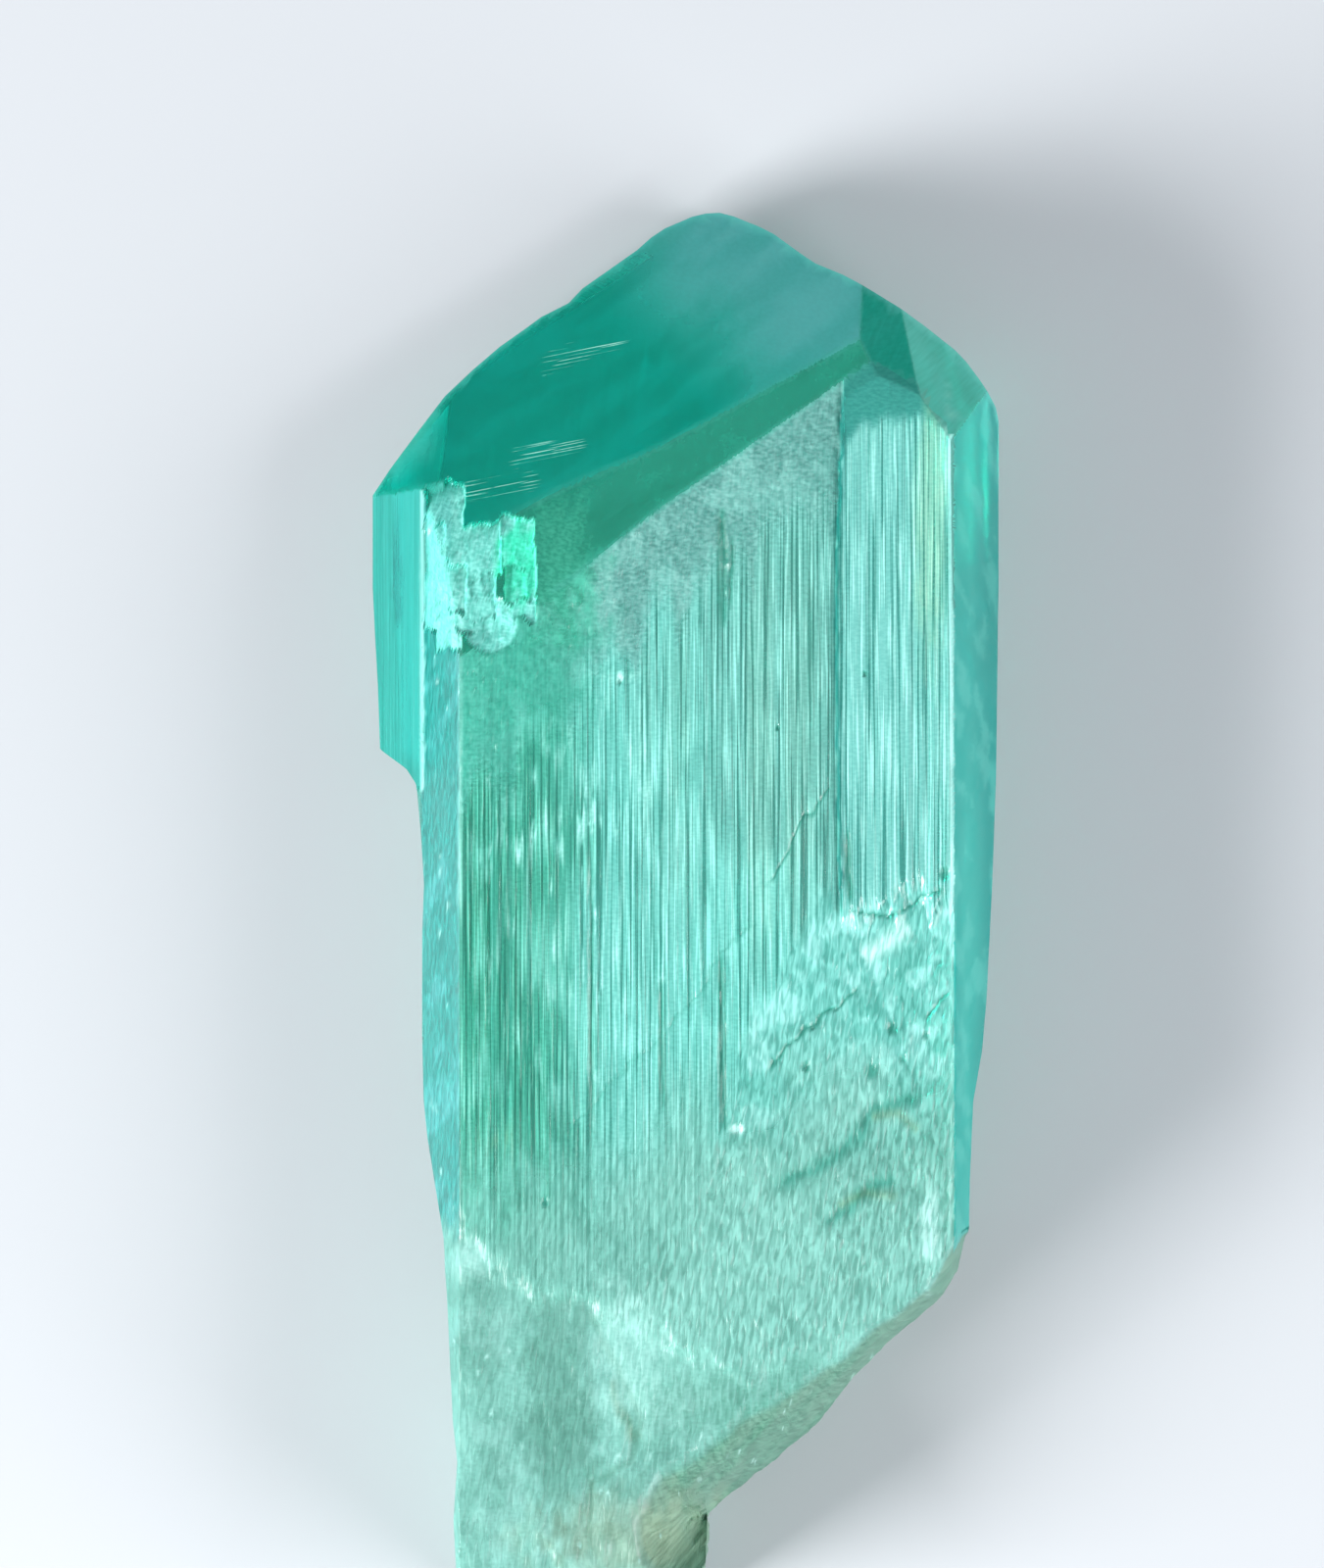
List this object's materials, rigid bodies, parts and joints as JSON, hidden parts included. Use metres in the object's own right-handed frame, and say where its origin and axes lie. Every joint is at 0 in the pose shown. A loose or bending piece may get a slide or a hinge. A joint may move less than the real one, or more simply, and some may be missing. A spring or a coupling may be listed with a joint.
{
  "type": "spodumene crystal",
  "caption": "Flattened, striated clear green spodumene crystal with a slanting faceted tip, a side ledge and a worn, broken foot, lying on its back face.",
  "frame": {"origin": "centre of the bounding box in plan, at the bottom: on the plane of the broad back face that the crystal lies on", "axes": "+Y along the crystal towards its faceted tip, +X to the right seen from the front, +Z out of the striated front face, up"},
  "size_m": [0.0272, 0.0616, 0.011],
  "materials": {
    "green_spodumene": "clear green crystal, glossy on the flat faces, satin on the ridges, milky and dull at the worn foot"
  },
  "bodies": {
    "root": {"kunzite_crystal": "green_spodumene"}
  },
  "joints": []
}
